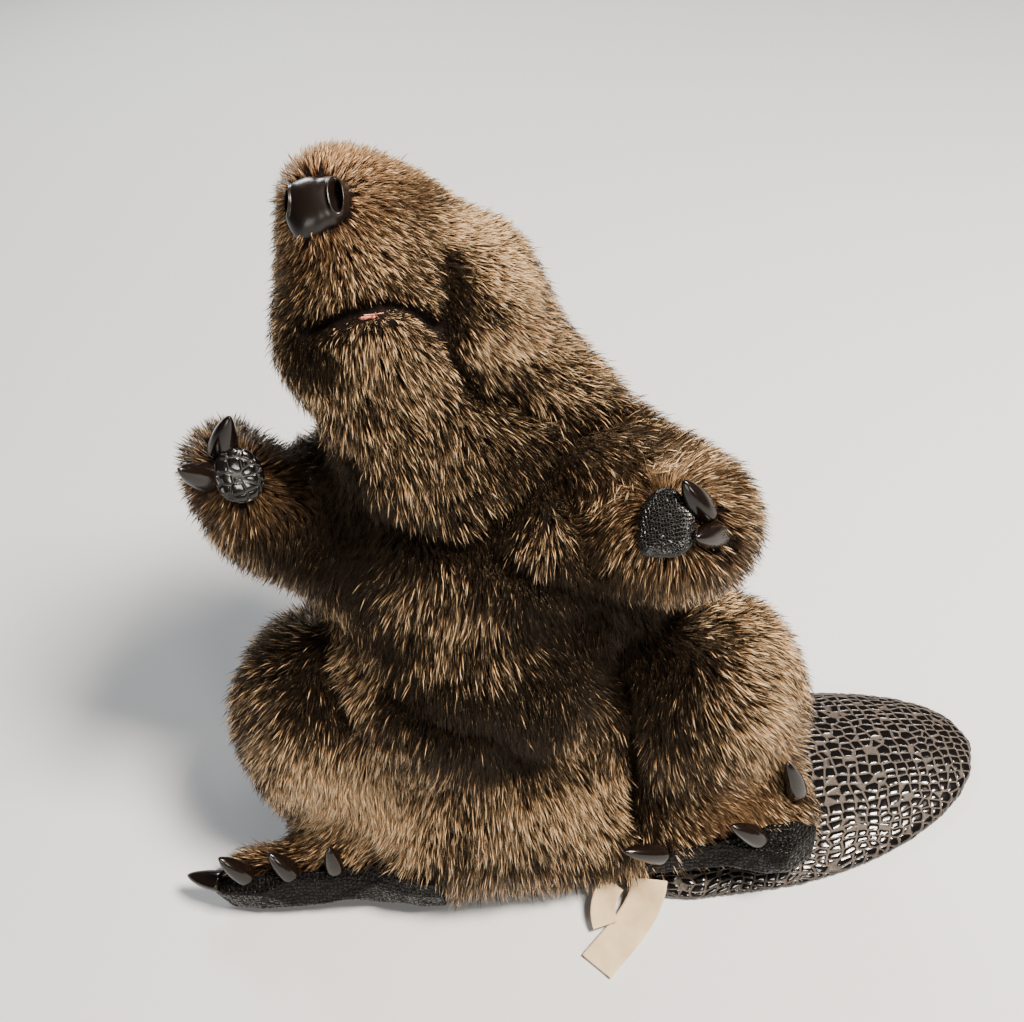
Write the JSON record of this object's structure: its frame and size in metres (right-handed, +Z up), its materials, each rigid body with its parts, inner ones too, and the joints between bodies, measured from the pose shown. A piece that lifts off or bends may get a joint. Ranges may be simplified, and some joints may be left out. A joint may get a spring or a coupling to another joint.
{
  "type": "plush beaver hand puppet",
  "caption": "Sitting plush beaver hand puppet, its head tipped back, with a flat scaled vinyl tail, vinyl soles and palm pads, and a base open for a hand.",
  "frame": {"origin": "bottom centre of the toy's box, on the surface that it sits on", "axes": "+Z up; the toy faces -Y, so its own left side is at +X, and its tail lies along +X"},
  "size_m": [0.3104, 0.1764, 0.2554],
  "materials": {
    "fur": "long-pile faux fur, dark brown with tan tips",
    "gloss": "moulded black plastic, polished",
    "scaled_vinyl": "black vinyl embossed with scales, glossy on top and dull in the grooves",
    "felt": "coral pink felt",
    "label_ribbon": "cream satin ribbon, blank"
  },
  "bodies": {
    "root": {"head": "fur", "lower_jaw": "fur", "neck": "fur", "chest": "fur", "belly": "fur", "back": "fur", "flank_right": "fur", "flank_left": "fur", "upper_arm_right": "fur", "upper_arm_left": "fur", "forepaw_right": "fur", "forepaw_left": "fur", "thigh_right": "fur", "thigh_left": "fur", "hind_foot_right": "fur", "hind_foot_left": "fur", "ear_left": "fur", "ear_right": "fur", "nose": "gloss", "eye_left": "gloss", "eye_right": "gloss", "claw_fore_right_1": "gloss", "claw_fore_right_2": "gloss", "claw_fore_left_1": "gloss", "claw_fore_left_2": "gloss", "claw_hind_right_1": "gloss", "claw_hind_right_2": "gloss", "claw_hind_right_3": "gloss", "claw_hind_right_4": "gloss", "claw_hind_left_1": "gloss", "claw_hind_left_2": "gloss", "claw_hind_left_3": "gloss", "tail": "scaled_vinyl", "sole_right": "scaled_vinyl", "sole_left": "scaled_vinyl", "pad_right": "scaled_vinyl", "pad_left": "scaled_vinyl", "mouth_lining": "felt", "care_label": "label_ribbon", "care_label_loop": "label_ribbon"}
  },
  "joints": []
}
